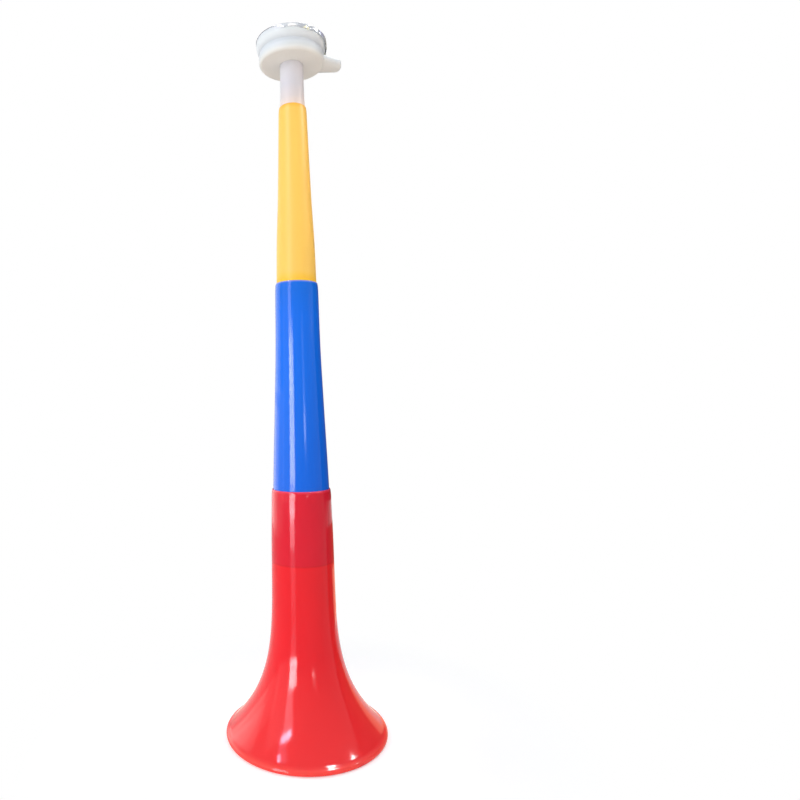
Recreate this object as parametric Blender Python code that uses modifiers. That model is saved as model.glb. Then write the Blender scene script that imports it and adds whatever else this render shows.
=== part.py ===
"""Telescoping plastic stadium horn.

Three tapered tubes jam into each other end to end, and the lowest one flares into the bell.
A pale stem tube carries a flat drum head with a side mouthpiece. A thin film is stretched
over the drum, and the breath makes it buzz against the open top of the stem.

Metres, +Z up. The horn stands on its bell rim with its axis on the Z axis, and the
mouthpiece points along +X. The tubes are drawn fully extended.
"""

import math

import bmesh
import bpy

# Fits
RUNNING_GAP = 0.0003  # between a piece and whatever slides, turns or seats on it

# Tube walls, shared by the three coloured sections and the stem
TUBE_WALL = 0.0008
MOUTH_LIP = 0.00035  # wall left at the very edge of a section's top mouth
MOUTH_ROUND = 0.008  # height over which a mouth is rounded down to that lip

# Bell section
BELL_HEIGHT = 0.1455
BELL_RADIUS = 0.050
BELL_FLARE_POWER = 4.0
BELL_THROAT_TAPER = 0.005  # steady widening of the throat, radius per height
BELL_BEAD_RADIUS = 0.0016  # rolled bead round the rim
BELL_BEAD_START = 80  # angle where the bead's round leaves the flare, 0 being outwards
BELL_BEAD_END = 135  # angle where it meets the inside of the bell
BELL_FOOT_FLAT = 0.0002  # how much of the bead is flat where the horn stands

# Middle section
MIDDLE_SHOWN = 0.1385  # length between the two seams
MIDDLE_LAP = 0.045  # length hidden inside the bell section
MIDDLE_FOOT_RADIUS = 0.0193
MIDDLE_SEAM_RADIUS = 0.0186  # where it leaves the bell section
MIDDLE_WAIST_RADIUS = 0.01675
MIDDLE_WAIST_HEIGHT = 0.0545  # above the seam

# Upper section
UPPER_SHOWN = 0.1325
UPPER_LAP = 0.045
UPPER_FOOT_RADIUS = 0.01445
UPPER_SEAM_RADIUS = 0.0140
UPPER_SWELL_RADIUS = 0.0135
UPPER_SWELL_HEIGHT = 0.028  # above the seam
UPPER_WAIST_RADIUS = 0.01215
UPPER_WAIST_HEIGHT = 0.061  # above the seam

# Stem tube
STEM_SHOWN = 0.034
STEM_LAP = 0.045
STEM_FOOT_RADIUS = 0.0103
STEM_SEAM_RADIUS = 0.0092
STEM_NECK_RADIUS = 0.0088
STEM_NECK_HEIGHT = 0.0155  # above the seam; straight from there to its open top

# Drum head
HEAD_HEIGHT = 0.0195  # underside of the drum to the top of the film
DRUM_RADIUS = 0.0244
DRUM_WALL = 0.0012
DRUM_FLOOR = 0.0015
DRUM_CORNER = 0.0030  # rounding of the lower outside edge
DRUM_INNER_CORNER = 0.0012
COLLAR_HEIGHT = 0.0035  # collar inside the drum that grips the stem, above the floor
COLLAR_WALL = 0.0012

# Side mouthpiece, moulded on the drum: wide at its root, with a rounded tip
NOZZLE_REACH = 0.0392  # drum axis to the mouthpiece tip
NOZZLE_RISE = 0.0049  # underside of the drum to the mouthpiece axis
NOZZLE_HEIGHT = 0.0072
NOZZLE_ROOT_WIDTH = 0.0210
NOZZLE_TIP_WIDTH = 0.0106  # between its tapering sides at the tip, before rounding
NOZZLE_SQUARENESS = 2.6  # exponent of its section: 2 is an oval, more is boxier
NOZZLE_TIP_ROUND = 0.0042  # rounding of the tip seen from above
NOZZLE_LIP_ROUND = 0.0008  # rounding of the tip seen from the side
NOZZLE_MOUTH_WIDTH = 0.0060  # opening at the tip
NOZZLE_WALL = 0.0010

# Retaining ring
RING_RADIUS = 0.0262
RING_DEPTH = 0.0091  # ring top to its lower edge
RING_FLANGE = 0.0009  # thickness of the inward flange on top
RING_OPENING_RADIUS = 0.0212
RING_EDGE = 0.0008  # rounding of the ring's edges

# Membrane film
FILM_THICKNESS = 0.0003
FILM_SKIRT = 0.0030  # length folded down over the ring's edge

# Fineness of the round shapes
TUBE_SEGMENTS = 40
BELL_SEGMENTS = 56
NOZZLE_SEGMENTS = 32
FLARE_STEPS = 10
MIDDLE_STEPS = 5
UPPER_STEPS = 6
BEAD_STEPS = 6
ARC_STEPS = 4
SMALL_ARC_STEPS = 2
SMOOTH_ANGLE = math.radians(35)
MERGE_DISTANCE = 0.00001

# Heights of the seams above the ground
MIDDLE_SEAM = BELL_HEIGHT
UPPER_SEAM = MIDDLE_SEAM + MIDDLE_SHOWN
STEM_SEAM = UPPER_SEAM + UPPER_SHOWN
DRUM_BASE = STEM_SEAM + STEM_SHOWN

# Heights and radii inside the head, measured from the underside of the drum
RING_TOP = HEAD_HEIGHT - FILM_THICKNESS - RUNNING_GAP
RING_BOTTOM = RING_TOP - RING_DEPTH
DRUM_RIM = RING_TOP - RING_FLANGE - RUNNING_GAP
RING_SEAT_RADIUS = RING_RADIUS - FILM_THICKNESS - RUNNING_GAP
COLLAR_BORE = STEM_NECK_RADIUS + RUNNING_GAP


def clear_scene():
    """Start from an empty file."""
    for old in list(bpy.data.objects):
        bpy.data.objects.remove(old, do_unlink=True)


def new_collection(name):
    """A collection linked to the scene."""
    collection = bpy.data.collections.new(name)
    bpy.context.scene.collection.children.link(collection)
    return collection


def plastic(name, colour, roughness, alpha=1.0, transmission=0.0):
    """A Principled material for one piece."""
    material = bpy.data.materials.new(name)
    material.use_nodes = True
    shader = material.node_tree.nodes["Principled BSDF"]
    shader.inputs["Base Color"].default_value = (*colour, 1.0)
    shader.inputs["Roughness"].default_value = roughness
    shader.inputs["Metallic"].default_value = 0.0
    shader.inputs["Alpha"].default_value = alpha
    shader.inputs["Transmission Weight"].default_value = transmission
    material.diffuse_color = (*colour, 1.0)
    return material


def arc(centre, radii, start, end, steps=ARC_STEPS):
    """Points on an elliptical arc in the outline plane, angles in degrees from +radius."""
    points = []
    for step in range(steps + 1):
        angle = math.radians(start + (end - start) * step / steps)
        points.append((centre[0] + radii[0] * math.cos(angle), centre[1] + radii[1] * math.sin(angle)))
    return points


def smooth_radius(stations, height):
    """Radius at a height, on a smooth curve through (height, radius) stations, lowest first."""
    count = len(stations)
    slopes = [
        (stations[i + 1][1] - stations[i][1]) / (stations[i + 1][0] - stations[i][0])
        for i in range(count - 1)
    ]
    index = 0
    while index < count - 2 and height > stations[index + 1][0]:
        index += 1
    start_slope = slopes[index] if index == 0 else (slopes[index - 1] + slopes[index]) / 2
    end_slope = slopes[index] if index == count - 2 else (slopes[index] + slopes[index + 1]) / 2
    low, high = stations[index], stations[index + 1]
    span = high[0] - low[0]
    t = (height - low[0]) / span
    return (
        (2 * t**3 - 3 * t**2 + 1) * low[1]
        + (t**3 - 2 * t**2 + t) * span * start_slope
        + (3 * t**2 - 2 * t**3) * high[1]
        + (t**3 - t**2) * span * end_slope
    )


def straight_radius(low, high, height):
    """Radius at a height, on the straight line between two (height, radius) stations."""
    return low[1] + (high[1] - low[1]) * (height - low[0]) / (high[0] - low[0])


def turned(name, outline, segments, collection, material):
    """A solid turned round the Z axis from a closed outline of (radius, height) points.

    The outline runs down the outer side first.
    """
    mesh = bpy.data.meshes.new(name + "_outline")
    count = len(outline)
    edges = [(i, (i + 1) % count) for i in range(count)]
    mesh.from_pydata([(radius, 0.0, height) for radius, height in outline], edges, [])
    profile = bpy.data.objects.new(name + "_outline", mesh)
    bpy.context.scene.collection.objects.link(profile)
    screw = profile.modifiers.new("Turn", "SCREW")
    screw.steps = segments
    screw.render_steps = segments
    screw.use_merge_vertices = True
    screw.merge_threshold = MERGE_DISTANCE
    bpy.context.view_layer.update()
    evaluated = profile.evaluated_get(bpy.context.evaluated_depsgraph_get())
    solid = bpy.data.meshes.new_from_object(evaluated)
    bpy.data.objects.remove(profile, do_unlink=True)
    bpy.data.meshes.remove(mesh)
    return place_mesh(name, solid, collection, material)


def place_mesh(name, mesh, collection, material):
    """Give a mesh its object, its material and smooth shading."""
    mesh.name = name
    if material is not None:
        mesh.materials.clear()
        mesh.materials.append(material)
    mesh.shade_smooth()
    mesh.set_sharp_from_angle(angle=SMOOTH_ANGLE)
    piece = bpy.data.objects.new(name, mesh)
    collection.objects.link(piece)
    return piece


def carry(piece, carrier, height):
    """Stand a piece at a height on the horn's axis, carried by the piece it rides on."""
    piece.location = (0.0, 0.0, height)
    bpy.context.view_layer.update()
    if carrier is not None:
        piece.parent = carrier
        piece.matrix_parent_inverse = carrier.matrix_world.inverted()


def socket_stations(top, inner_stations, inner_lap):
    """Outer stations of a section's neck and shoulder, which wrap the next section's foot."""
    foot, seam = inner_stations[0], inner_stations[1]
    wrap = RUNNING_GAP + TUBE_WALL
    inner_at_shoulder = straight_radius(foot, seam, foot[0] + inner_lap - MOUTH_ROUND)
    neck = (top - inner_lap, foot[1] + wrap)
    shoulder = (top - MOUTH_ROUND, inner_at_shoulder + wrap)
    return [neck, shoulder]


def mouth_outline(top, shoulder_radius, seam_radius, shoulder_bore):
    """Points over a section's rounded mouth, outer side and bore, listed outside top first."""
    bore = seam_radius + RUNNING_GAP
    lip = bore + MOUTH_LIP
    outer = arc((lip, top - MOUTH_ROUND), (shoulder_radius - lip, MOUTH_ROUND), 90, 0)
    inner = [(shoulder_bore, top - MOUTH_ROUND), (bore, top)]
    return outer, inner


def section_outline(stations, shoulder, seam_radius, top, samples):
    """Closed outline of a plain tapered section with a rounded socket mouth."""
    outer, mouth_bore = mouth_outline(top, shoulder[1], seam_radius, shoulder[1] - TUBE_WALL)
    bottom = stations[0][0]
    heights = [
        shoulder[0] + (bottom - shoulder[0]) * step / samples
        for step in range(1, samples + 1)
    ]
    radii = [smooth_radius(stations, height) for height in heights]
    outer += list(zip(radii, heights))
    bore = [(radius - TUBE_WALL, height) for radius, height in zip(radii, heights)]
    return outer + bore[::-1] + mouth_bore


STEM_STATIONS = [
    (-STEM_LAP, STEM_FOOT_RADIUS),
    (0.0, STEM_SEAM_RADIUS),
    (STEM_NECK_HEIGHT, STEM_NECK_RADIUS),
    (STEM_SHOWN, STEM_NECK_RADIUS),
]
UPPER_STATIONS = [
    (-UPPER_LAP, UPPER_FOOT_RADIUS),
    (0.0, UPPER_SEAM_RADIUS),
    (UPPER_SWELL_HEIGHT, UPPER_SWELL_RADIUS),
    (UPPER_WAIST_HEIGHT, UPPER_WAIST_RADIUS),
    *socket_stations(UPPER_SHOWN, STEM_STATIONS, STEM_LAP),
]
MIDDLE_STATIONS = [
    (-MIDDLE_LAP, MIDDLE_FOOT_RADIUS),
    (0.0, MIDDLE_SEAM_RADIUS),
    (MIDDLE_WAIST_HEIGHT, MIDDLE_WAIST_RADIUS),
    *socket_stations(MIDDLE_SHOWN, UPPER_STATIONS, UPPER_LAP),
]


def bell_section(collection):
    """Lowest tube, which flares into the bell and stands on its rolled rim bead."""
    neck, shoulder = socket_stations(BELL_HEIGHT, MIDDLE_STATIONS, MIDDLE_LAP)
    outer, mouth_bore = mouth_outline(
        BELL_HEIGHT, shoulder[1], MIDDLE_SEAM_RADIUS, shoulder[1] - TUBE_WALL
    )
    bead_height = BELL_BEAD_RADIUS - BELL_FOOT_FLAT
    bead_centre = (BELL_RADIUS - BELL_BEAD_RADIUS, bead_height)
    throat = neck[0]

    def widening(height):
        return BELL_THROAT_TAPER * (throat - height)

    flare = (BELL_RADIUS - neck[1] - widening(bead_height)) / (
        ((throat - bead_height) / throat) ** BELL_FLARE_POWER
    )

    def flare_radius(height):
        return neck[1] + widening(height) + flare * ((throat - height) / throat) ** BELL_FLARE_POWER

    # The flare's stations crowd together towards the rim, where it curves most.
    crest = bead_height + BELL_BEAD_RADIUS
    outside, inside = [neck[::-1]], [(neck[1] - TUBE_WALL, neck[0])]
    for step in range(1, FLARE_STEPS + 1):
        share = math.sin(math.pi / 2 * step / FLARE_STEPS)
        height = throat + (crest - throat) * share
        radius = flare_radius(height)
        slope = BELL_THROAT_TAPER + flare * BELL_FLARE_POWER / throat * (
            (throat - height) / throat
        ) ** (BELL_FLARE_POWER - 1)
        lean = math.atan(slope)
        outside.append((radius, height))
        inside.append((radius - TUBE_WALL * math.cos(lean), height - TUBE_WALL * math.sin(lean)))
    foot_angle = math.degrees(math.asin(bead_height / BELL_BEAD_RADIUS))
    bead_radii = (BELL_BEAD_RADIUS, BELL_BEAD_RADIUS)
    bead_outside = arc(bead_centre, bead_radii, BELL_BEAD_START, -foot_angle, BEAD_STEPS)
    bead_inside = arc(bead_centre, bead_radii, 180 + foot_angle, BELL_BEAD_END)
    outline = outer + outside + bead_outside + bead_inside + inside[-2::-1] + mouth_bore
    material = plastic("red_plastic", (0.86, 0.025, 0.03), 0.18)
    bell = turned("bell_section", outline, BELL_SEGMENTS, collection, material)
    carry(bell, None, 0.0)
    return bell


def middle_section(collection, bell):
    """Second tube, whose foot jams in the mouth of the bell section."""
    shoulder = MIDDLE_STATIONS[-1]
    outline = section_outline(MIDDLE_STATIONS, shoulder, UPPER_SEAM_RADIUS, MIDDLE_SHOWN, MIDDLE_STEPS)
    material = plastic("blue_plastic", (0.01, 0.12, 0.75), 0.18)
    middle = turned("middle_section", outline, TUBE_SEGMENTS, collection, material)
    carry(middle, bell, MIDDLE_SEAM)
    return middle


def upper_section(collection, middle):
    """Third tube, whose foot jams in the mouth of the middle section."""
    shoulder = UPPER_STATIONS[-1]
    outline = section_outline(UPPER_STATIONS, shoulder, STEM_SEAM_RADIUS, UPPER_SHOWN, UPPER_STEPS)
    material = plastic("yellow_plastic", (0.95, 0.48, 0.04), 0.18)
    upper = turned("upper_section", outline, TUBE_SEGMENTS, collection, material)
    carry(upper, middle, UPPER_SEAM)
    return upper


def stem_tube(collection, upper):
    """Pale tube that carries the drum and ends open, just under the film."""
    top = STEM_SHOWN + RING_TOP
    heights = [STEM_SHOWN, STEM_NECK_HEIGHT, STEM_NECK_HEIGHT / 2, 0.0, -STEM_LAP / 2, -STEM_LAP]
    radii = [smooth_radius(STEM_STATIONS, height) for height in heights]
    outer = [(STEM_NECK_RADIUS, top)] + list(zip(radii, heights))
    bore = [(radius - TUBE_WALL, height) for radius, height in outer]
    material = plastic("milky_plastic", (0.88, 0.86, 0.88), 0.3, transmission=0.3)
    stem = turned("stem_tube", outer + bore[::-1], TUBE_SEGMENTS, collection, material)
    carry(stem, upper, STEM_SEAM)
    return stem


def nozzle_section(x, half_width, half_height):
    """One closed section of the mouthpiece, a squared oval that lies across X."""
    power = 2 / NOZZLE_SQUARENESS
    points = []
    for step in range(NOZZLE_SEGMENTS):
        angle = 2 * math.pi * step / NOZZLE_SEGMENTS
        across, rise = math.cos(angle), math.sin(angle)
        y = half_width * math.copysign(abs(across) ** power, across)
        z = half_height * math.copysign(abs(rise) ** power, rise)
        points.append((x, y, NOZZLE_RISE + z))
    return points


def lofted(name, sections, collection):
    """A solid skinned over sections that follow each other along +X, with closed ends."""
    mesh = bmesh.new()
    loops = [[mesh.verts.new(point) for point in section] for section in sections]
    count = NOZZLE_SEGMENTS
    for near, far in zip(loops, loops[1:]):
        for step in range(count):
            after = (step + 1) % count
            mesh.faces.new([near[step], near[after], far[after], far[step]])
    # Each end is a strip of cross pieces from the section's upper half to its lower half.
    for loop, facing_out in ((loops[0], False), (loops[-1], True)):
        for step in range(count // 2):
            corners = [loop[step], loop[step + 1], loop[-step - 1], loop[-step]]
            corners = list(dict.fromkeys(corners))
            mesh.faces.new(corners if facing_out else corners[::-1])
    data = bpy.data.meshes.new(name)
    mesh.to_mesh(data)
    mesh.free()
    return place_mesh(name, data, collection, None)


def mouthpiece_rod(collection):
    """The mouthpiece without its bore, with a root that ends inside the drum's wall."""
    root_radius = DRUM_RADIUS - DRUM_WALL / 2
    root_half, tip_half = NOZZLE_ROOT_WIDTH / 2, NOZZLE_TIP_WIDTH / 2
    root_x = math.sqrt(root_radius**2 - root_half**2)
    root = [
        (math.sqrt(root_radius**2 - y**2), y, z)
        for x, y, z in nozzle_section(root_x, root_half, NOZZLE_HEIGHT / 2)
    ]
    sections = [root]
    for step in range(ARC_STEPS + 1):
        x = NOZZLE_REACH - NOZZLE_TIP_ROUND * (1 - math.sin(math.pi / 2 * step / ARC_STEPS))
        share = (x - root_x) / (NOZZLE_REACH - root_x)
        half_width = root_half + (tip_half - root_half) * share
        half_width -= rounding(NOZZLE_TIP_ROUND, NOZZLE_REACH - x)
        half_height = NOZZLE_HEIGHT / 2 - rounding(NOZZLE_LIP_ROUND, NOZZLE_REACH - x)
        sections.append(nozzle_section(x, half_width, half_height))
    return lofted("mouthpiece_rod", sections, collection)


def rounding(radius, distance):
    """How far a round edge draws in, at a distance from the end that it is turned to."""
    depth = max(0.0, radius - distance)
    return radius - math.sqrt(radius**2 - depth**2)


def mouthpiece_bore(collection):
    """Cutter for the mouthpiece's bore, from the air chamber out through the tip."""
    root_half = NOZZLE_ROOT_WIDTH / 2 - NOZZLE_WALL
    half_height = NOZZLE_HEIGHT / 2 - NOZZLE_WALL
    inner_radius = DRUM_RADIUS - DRUM_WALL
    start = math.sqrt(inner_radius**2 - root_half**2) - DRUM_WALL
    sections = [
        nozzle_section(start, root_half, half_height),
        nozzle_section(NOZZLE_REACH + NOZZLE_WALL, NOZZLE_MOUTH_WIDTH / 2, half_height),
    ]
    return lofted("mouthpiece_bore", sections, collection)


def drum_body(collection, cutters, stem):
    """Flat cup that makes the air chamber, with its collar and its side mouthpiece."""
    inner_radius = DRUM_RADIUS - DRUM_WALL
    collar_radius = COLLAR_BORE + COLLAR_WALL
    collar_top = DRUM_FLOOR + COLLAR_HEIGHT
    outline = [(DRUM_RADIUS, DRUM_RIM)]
    outline += arc(
        (DRUM_RADIUS - DRUM_CORNER, DRUM_CORNER), (DRUM_CORNER, DRUM_CORNER), 0, -90
    )
    outline += [(COLLAR_BORE, 0.0), (COLLAR_BORE, collar_top), (collar_radius, collar_top)]
    outline += [(collar_radius, DRUM_FLOOR)]
    outline += arc(
        (inner_radius - DRUM_INNER_CORNER, DRUM_FLOOR + DRUM_INNER_CORNER),
        (DRUM_INNER_CORNER, DRUM_INNER_CORNER),
        -90,
        0,
        SMALL_ARC_STEPS,
    )
    outline += [(inner_radius, DRUM_RIM)]
    material = plastic("ivory_plastic", (0.85, 0.82, 0.76), 0.35)
    drum = turned("drum_body", outline, TUBE_SEGMENTS, collection, material)

    spout = mouthpiece_rod(cutters)
    bore = mouthpiece_bore(cutters)
    join = drum.modifiers.new("Mouthpiece", "BOOLEAN")
    join.operation = "UNION"
    join.solver = "EXACT"
    join.object = spout
    cut = drum.modifiers.new("Bore", "BOOLEAN")
    cut.operation = "DIFFERENCE"
    cut.solver = "EXACT"
    cut.object = bore
    carry(drum, stem, DRUM_BASE)
    for cutter in (spout, bore):
        cutter.hide_render = True
        cutter.display_type = "WIRE"
        carry(cutter, drum, DRUM_BASE)
    return drum


def retaining_ring(collection, drum):
    """Ring pushed down over the drum's rim, with the seat that the film is folded over."""
    bore = DRUM_RADIUS + RUNNING_GAP
    seat_bottom = RING_TOP - FILM_SKIRT - RUNNING_GAP
    edge = (RING_EDGE, RING_EDGE)
    outline = [(RING_OPENING_RADIUS, RING_TOP)]
    outline += arc((RING_SEAT_RADIUS - RING_EDGE, RING_TOP - RING_EDGE), edge, 90, 0)
    outline += [(RING_SEAT_RADIUS, seat_bottom), (RING_RADIUS, seat_bottom)]
    outline += arc((RING_RADIUS - RING_EDGE, RING_BOTTOM + RING_EDGE), edge, 0, -90)
    outline += [(bore, RING_BOTTOM), (bore, RING_TOP - RING_FLANGE)]
    outline += [(RING_OPENING_RADIUS, RING_TOP - RING_FLANGE)]
    material = plastic("white_plastic", (0.88, 0.88, 0.87), 0.28)
    ring = turned("retaining_ring", outline, TUBE_SEGMENTS, collection, material)
    carry(ring, drum, DRUM_BASE)
    return ring


def membrane_film(collection, drum):
    """Thin film stretched over the ring, with its edge folded down round it."""
    inner_edge = RING_EDGE + RUNNING_GAP
    outer_edge = inner_edge + FILM_THICKNESS
    centre = (RING_RADIUS - outer_edge, HEAD_HEIGHT - outer_edge)
    skirt_bottom = HEAD_HEIGHT - FILM_THICKNESS - FILM_SKIRT
    outline = [(0.0, HEAD_HEIGHT)]
    outline += arc(centre, (outer_edge, outer_edge), 90, 0)
    outline += [(RING_RADIUS, skirt_bottom), (RING_RADIUS - FILM_THICKNESS, skirt_bottom)]
    outline += arc(centre, (inner_edge, inner_edge), 0, 90)
    outline += [(0.0, HEAD_HEIGHT - FILM_THICKNESS)]
    material = plastic("clear_film", (0.85, 0.87, 0.9), 0.08, alpha=0.8, transmission=0.6)
    film = turned_from_axis("membrane_film", outline, TUBE_SEGMENTS, collection, material)
    carry(film, drum, DRUM_BASE)
    return film


def turned_from_axis(name, outline, segments, collection, material):
    """A solid turned from an outline whose two ends lie on the axis."""
    piece = turned(name, outline, segments, collection, material)
    mesh = bmesh.new()
    mesh.from_mesh(piece.data)
    bmesh.ops.dissolve_degenerate(mesh, edges=mesh.edges, dist=MERGE_DISTANCE / 10)
    mesh.to_mesh(piece.data)
    mesh.free()
    return piece


def build():
    """Make the whole horn."""
    clear_scene()
    parts = new_collection("stadium_horn")
    cutters = new_collection("cutters")
    bell = bell_section(parts)
    middle = middle_section(parts, bell)
    upper = upper_section(parts, middle)
    stem = stem_tube(parts, upper)
    drum = drum_body(parts, cutters, stem)
    retaining_ring(parts, drum)
    membrane_film(parts, drum)


build()
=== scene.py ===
"""Looks of the telescoping plastic stadium horn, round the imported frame. Metres, +Z up."""

import math
import random

import bmesh
import bpy
from mathutils import Matrix, Quaternion, Vector


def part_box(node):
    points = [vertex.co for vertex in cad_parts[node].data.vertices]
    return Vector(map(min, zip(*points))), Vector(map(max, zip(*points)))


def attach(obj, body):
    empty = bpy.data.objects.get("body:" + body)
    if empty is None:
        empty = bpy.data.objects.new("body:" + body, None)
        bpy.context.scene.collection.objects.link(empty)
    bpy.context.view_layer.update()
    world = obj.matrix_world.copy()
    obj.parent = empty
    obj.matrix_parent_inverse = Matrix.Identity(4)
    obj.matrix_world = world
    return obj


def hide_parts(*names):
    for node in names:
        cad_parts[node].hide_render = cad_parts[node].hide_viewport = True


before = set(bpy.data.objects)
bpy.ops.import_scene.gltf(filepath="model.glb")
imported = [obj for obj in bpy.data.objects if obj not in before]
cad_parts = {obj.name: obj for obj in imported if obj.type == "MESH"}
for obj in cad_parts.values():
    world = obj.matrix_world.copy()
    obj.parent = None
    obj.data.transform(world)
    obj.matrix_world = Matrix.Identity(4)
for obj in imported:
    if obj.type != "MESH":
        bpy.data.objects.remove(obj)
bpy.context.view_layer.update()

# Heights of the seams above the ground, read from the frame
MIDDLE_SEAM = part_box("bell_section")[1][2]
UPPER_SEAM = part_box("middle_section")[1][2]
STEM_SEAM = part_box("upper_section")[1][2]
DRUM_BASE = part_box("drum_body")[0][2]
HORN_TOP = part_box("membrane_film")[1][2]

# Tubes
GAP = 0.0003  # play between two pieces
SNUG = 0.0001  # gap drawn where two pieces look tight
WALL = 0.0008
LAP = 0.045  # how far a tube's foot reaches into the tube below
MOUTH_ROUND = 0.008  # height over which a mouth curves in
MOUTH_LIP = 0.00045  # thickness of a mouth's lip
LIP_ARC = (150, 20)  # degrees round the lip, from the bore outwards
LIP_STEPS = 6
MOUTH_STEPS = 16
TUBE_STEPS = 28
STEM_STEPS = 24
STEM_RADIUS = 0.0088

# Bell
BELL_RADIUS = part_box("bell_section")[1][0]
BELL_STEPS = 44
SHOULDER_STEPS = 8  # from the mouth's round down to the neck
FLARE_POWER = 4.0
THROAT_TAPER = 0.005
FOOT_FLAT = 0.0002
BEAD_RADIUS = 0.0016
BEAD_START = 62  # angle where the bead's round leaves the flare, 0 being outwards
BEAD_END = 140  # angle where it ends inside
BEAD_STEPS = 20
BEAD_INNER_STEPS = 8
BEAD_BLEND = 0.0013  # height over which the flare turns into the bead
BLEND_PULL = 0.45  # length of the blend's handles, as a share of its chord
BLEND_STEPS = 8

# Drum, from its own base
DRUM_RADIUS = 0.0244
DRUM_WALL = 0.0012
DRUM_FLOOR = 0.0015
DRUM_CORNER = 0.0026
DRUM_CORNER_STEPS = 16
DRUM_INNER_CORNER = 0.0012
DRUM_INNER_STEPS = 5
COLLAR_RADIUS = 0.0103
COLLAR_HEIGHT = 0.0035
WAIST_RADIUS = 0.0236  # the cup draws in to this under the ring
WAIST_LOW = 0.0060
WAIST_HIGH = 0.0096
WAIST_STEPS = 12

# Ring, from the drum's base
RING_RADIUS = 0.0261
RING_TOP = HORN_TOP - DRUM_BASE - 0.0006
RING_BOTTOM = RING_TOP - 0.0091
RING_FLANGE = 0.0009
RING_OPENING = 0.0212
RING_TOP_EDGE = 0.0008
RING_EDGE_STEPS = 8
RING_LOW_ROUND = 0.0048  # height over which its lower edge curves in
RING_BULGE = 0.55  # height of that curve's upper handle, as a share of the curve's height
RING_TUCK = (0.35, 0.15)  # place of its lower handle, as shares of its width and height
RING_ROUND_STEPS = 16

# Mouthpiece, lying along +X
NOZZLE_REACH = 0.0392
NOZZLE_RISE = 0.0049
NOZZLE_HEIGHT = 0.0072
NOZZLE_ROOT_WIDTH = 0.0210
NOZZLE_TIP_WIDTH = 0.0106
NOZZLE_SQUARENESS = 2.6
NOZZLE_TIP_ROUND = 0.0047
NOZZLE_LIP_ROUND = 0.0028
NOZZLE_ROOT_ROUND = 0.0012  # fillet where it grows out of the drum
NOZZLE_ROOT_LENGTH = 6 * NOZZLE_ROOT_ROUND  # over which the fillet runs out
NOZZLE_BOW_END = 0.5  # share of its length up to which its sections follow the drum's round
NOZZLE_MOUTH_WIDTH = 0.0060
NOZZLE_WALL = 0.0010
NOZZLE_SEGMENTS = 72
NOZZLE_STEPS = 14
NOZZLE_CROWDING = 1.5  # above 1, its sections lie closer towards the tip

# Film: the skirt's length and looseness are given against the direction from the axis, in degrees
FILM_SHEET = 0.00010
FILM_HEADROOM = 0.00012  # room under the solid film's top, besides the sheet's thickness
FILM_PLEATS = 46
FILM_SEED = 7
FILM_SKIRT = [
    (-194, 0.0012), (-170, 0.0009), (-138, 0.0009), (-128, 0.0018), (-122, 0.0034),
    (-108, 0.0036), (-98, 0.0030), (-90, 0.0038), (-76, 0.0046), (-64, 0.0044), (-52, 0.0050),
    (-40, 0.0066), (-26, 0.0078), (-8, 0.0074), (10, 0.0058), (30, 0.0034), (52, 0.0026),
    (76, 0.0032), (110, 0.0024), (138, 0.0030), (166, 0.0012),
]
FILM_LOOSE = [(-194, 0.5), (-120, 0.6), (-60, 0.9), (-30, 1.4), (0, 1.4), (30, 0.8), (166, 0.5)]
PLEAT_JITTER = 0.32  # how far they stray, as a share of the step from a valley to a ridge
PLEAT_LEAST = 0.25  # height of the lowest ridge against the highest
PLEAT_DEPTH = 0.00040
PLEAT_SPREAD = 0.00025  # added to the depth towards the skirt's hem
FLAT_SHARES = (0.25, 0.5, 0.7, 0.82, 0.9, 0.96)  # rings of the flat top, against its radius
FLAT_PUCKER = 0.00016  # how deep the flat top puckers at its edge
PUCKER_POWER = 6
FOLD_ANGLES = (90, 62, 34, 8)
FOLD_SWELL = 0.00010  # most that the fold bulges at random
SKIRT_SHARES = (0.3, 0.62, 1.0)
SKIRT_SWELL = 0.00014  # and the skirt
SKIRT_START = 0.1  # its upper end above the fold's centre, as a share of the fold's radius
HEM_RAGGED = 0.12  # how far the skirt's length strays, as a share of it
FILM_SMOOTH_ANGLE = 14

# All meshes
SEGMENTS = 144  # round a turned piece
SMOOTH_ANGLE = 35  # edges sharper than this stay sharp, in degrees

# Camera, in the photograph's 800 pixel frame
IMAGE_SIZE = 800
FOCAL_PIXELS = 613.24
CENTRE_PIXEL = (271.33, 297.75)
CAMERA_SIDE = -0.01786
CAMERA_DISTANCE = 0.42387
CAMERA_HEIGHT = 0.20051
CAMERA_UPWARD = math.radians(9.894)
CAMERA_ROLL = math.radians(0.897)
CAMERA_TURN = math.radians(14)  # the mouthpiece points this much away from the camera
SENSOR_WIDTH = 36.0
CLIP_START = 0.01

# Studio, with strengths on a scale where 1 is white
AMBIENT = 0.48
SKY_LIGHT = (0.93, 0.98, 1.05)
FLOOR_SIZE = 12.0
FLOOR_DROP = 0.0002  # below the bell's foot
FLOOR_SEEN = (0.93, 0.93, 0.93)
FLOOR_MIRRORED = (0.93, 0.72, 0.60)  # in the horn's gloss
FLOOR_BOUNCE = (0.95, 0.86, 0.77)  # as a giver of light
FLOOR_GLOW = 0.26  # near the horn, on top of the light that falls there
FLOOR_FADE = (0.06, 0.17)  # the shown floor turns into plain white over these distances

# Curved cards for reflections, angles in degrees from the camera's side, + being to its right
FLAG_START = 92
FLAG_END = 186
FLAG_STEPS = 24
FLAG_FOOT = 0.001

COOL = (0.95, 0.98, 1.0)
WHITE = (1.0, 1.0, 1.0)
WARM = (1.0, 0.93, 0.85)
PINKISH = (1.0, 0.9, 1.0)
PINK = (1.0, 0.85, 1.0)
VIOLET = (0.85, 0.67, 1.0)
FLARE_TINT = (1.0, 0.97, 0.94)
MIRRORED, SHADING = "reflection", "shading"  # what a lamp is used for, and nothing else

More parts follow.
